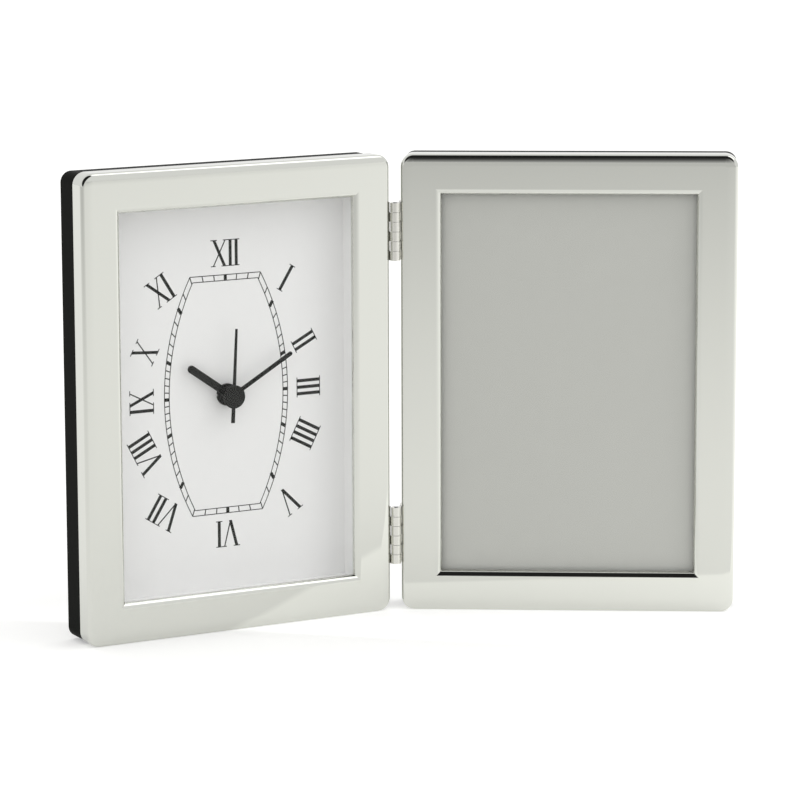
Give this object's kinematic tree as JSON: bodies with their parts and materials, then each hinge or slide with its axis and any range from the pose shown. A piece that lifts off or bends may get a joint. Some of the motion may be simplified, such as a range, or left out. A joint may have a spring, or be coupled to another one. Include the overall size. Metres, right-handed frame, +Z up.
{
  "type": "photo frame clock",
  "caption": "Folding desk clock and picture frame: two silver faced panels on small hinges, one with a quartz clock behind glass, one with a picture behind glass.",
  "frame": {"origin": "centre of the bounding box's bottom face, on the table under the two panels", "axes": "+X along the clock panel's face towards the picture panel, +Y from the clock's face to its back, +Z up"},
  "size_m": [0.254, 0.0996, 0.18],
  "materials": {
    "pressed_silver": "bright polished plate over pressed steel",
    "black_body": "moulded black with a fine satin grain",
    "pane": "clear float glass",
    "white_card": "white printed card",
    "black_lacquer": "satin black lacquer",
    "black_nut": "moulded black",
    "movement_black": "moulded black with a fine grain",
    "cream_gear": "moulded cream acetal",
    "clear_gear": "moulded white acetal",
    "plate_steel": "rolled steel sheet",
    "stator_iron": "annealed iron sheet",
    "copper_wire": "enamelled copper wire",
    "green_board": "green solder mask",
    "crystal_can": "drawn can",
    "cell_jacket": "printed jacket, plain",
    "contact_strip": "plated spring strip",
    "insert_grey": "grey printed card",
    "pad_board": "soft pulp board",
    "back_velvet": "black flocked board",
    "hinge_plate": "satin nickel plate",
    "hinge_steel": "bright steel wire",
    "screw_steel": "zinc plated steel"
  },
  "bodies": {
    "clock_panel": {"clock_shell": "pressed_silver", "clock_body": "black_body", "clock_glass": "pane", "dial_spacer": "white_card", "dial_plate": "white_card", "dial_nut": "black_nut", "threaded_bushing": "movement_black", "movement_front": "movement_black", "movement_cover": "movement_black", "train_plate": "plate_steel", "stator_plate": "stator_iron", "coil_core": "stator_iron", "coil_bobbin": "cream_gear", "coil_winding": "copper_wire", "circuit_board": "green_board", "quartz_crystal": "crystal_can", "battery": "cell_jacket", "battery_contacts": "contact_strip", "upper_clock_leaf": "hinge_plate", "upper_hinge_pin": "hinge_steel", "lower_clock_leaf": "hinge_plate", "lower_hinge_pin": "hinge_steel", "clock_leaf_screws": "screw_steel"},
    "photo_panel": {"photo_shell": "pressed_silver", "photo_body": "black_body", "photo_glass": "pane", "photo_insert": "insert_grey", "filler_pad": "pad_board", "backboard": "back_velvet", "button_screws": "screw_steel", "upper_photo_leaf": "hinge_plate", "lower_photo_leaf": "hinge_plate", "photo_leaf_screws": "screw_steel"},
    "minute_hand": {"minute_hand": "black_lacquer", "minute_pinion": "clear_gear"},
    "hour_hand": {"hour_hand": "black_lacquer", "hour_wheel": "cream_gear"},
    "motion_wheel": {"motion_wheel": "cream_gear"},
    "setting_knob": {"setting_knob": "movement_black"},
    "second_hand": {"second_hand": "black_lacquer", "second_wheel": "clear_gear"},
    "third_wheel": {"third_wheel": "cream_gear"},
    "centre_wheel": {"centre_wheel": "clear_gear"},
    "step_wheel": {"step_wheel": "cream_gear"},
    "rotor": {"rotor": "clear_gear"},
    "turn_button_top": {"turn_button_top": "screw_steel"},
    "turn_button_bottom": {"turn_button_bottom": "screw_steel"},
    "turn_button_left": {"turn_button_left": "screw_steel"},
    "turn_button_right": {"turn_button_right": "screw_steel"}
  },
  "joints": [
    {"name": "panel_fold", "type": "hinge", "parent": "clock_panel", "child": "photo_panel", "pos_m": [0.0051, 0.01858, 0.09], "axis": [0, 0, -1], "range_deg": [-47.2, 148.3]},
    {"name": "minute", "type": "hinge", "parent": "clock_panel", "child": "minute_hand", "pos_m": [-0.06195, 0.03584, 0.09], "axis": [0, 1, 0], "continuous": true},
    {"name": "hour", "type": "hinge", "parent": "clock_panel", "child": "hour_hand", "pos_m": [-0.06195, 0.03584, 0.09], "axis": [0, 1, 0], "continuous": true},
    {"name": "motion", "type": "hinge", "parent": "clock_panel", "child": "motion_wheel", "pos_m": [-0.06975, 0.03584, 0.0945], "axis": [0, 1, 0], "continuous": true},
    {"name": "setting", "type": "hinge", "parent": "clock_panel", "child": "setting_knob", "pos_m": [-0.07425, 0.03584, 0.10229], "axis": [0, 1, 0], "continuous": true},
    {"name": "second", "type": "hinge", "parent": "clock_panel", "child": "second_hand", "pos_m": [-0.06195, 0.03584, 0.09], "axis": [0, 1, 0], "continuous": true},
    {"name": "third", "type": "hinge", "parent": "clock_panel", "child": "third_wheel", "pos_m": [-0.05201, 0.03584, 0.09175], "axis": [0, 1, 0], "continuous": true},
    {"name": "centre", "type": "hinge", "parent": "clock_panel", "child": "centre_wheel", "pos_m": [-0.06195, 0.03584, 0.09], "axis": [0, 1, 0], "continuous": true},
    {"name": "step", "type": "hinge", "parent": "clock_panel", "child": "step_wheel", "pos_m": [-0.06008, 0.03584, 0.10064], "axis": [0, 1, 0], "continuous": true},
    {"name": "rotor_spin", "type": "hinge", "parent": "clock_panel", "child": "rotor", "pos_m": [-0.05152, 0.03584, 0.10375], "axis": [0, 1, 0], "continuous": true},
    {"name": "button_top", "type": "hinge", "parent": "photo_panel", "child": "turn_button_top", "pos_m": [0.0726, 0.00027, 0.174], "axis": [0.5255, 0.8508, 0], "range_deg": [0, 90]},
    {"name": "button_bottom", "type": "hinge", "parent": "photo_panel", "child": "turn_button_bottom", "pos_m": [0.0726, 0.00027, 0.006], "axis": [0.5255, 0.8508, 0], "range_deg": [0, 90]},
    {"name": "button_left", "type": "hinge", "parent": "photo_panel", "child": "turn_button_left", "pos_m": [0.0224, 0.03128, 0.09], "axis": [0.5255, 0.8508, 0], "range_deg": [0, 90]},
    {"name": "button_right", "type": "hinge", "parent": "photo_panel", "child": "turn_button_right", "pos_m": [0.1228, -0.03073, 0.09], "axis": [0.5255, 0.8508, 0], "range_deg": [0, 90]}
  ],
  "couplings": [
    {"joint": "motion", "follows": "minute", "ratio": -0.33333},
    {"joint": "hour", "follows": "minute", "ratio": 0.083333},
    {"joint": "setting", "follows": "minute", "ratio": 1},
    {"joint": "third", "follows": "second", "ratio": -0.13333},
    {"joint": "centre", "follows": "second", "ratio": 0.016667},
    {"joint": "step", "follows": "second", "ratio": -5},
    {"joint": "rotor_spin", "follows": "second", "ratio": 30}
  ]
}
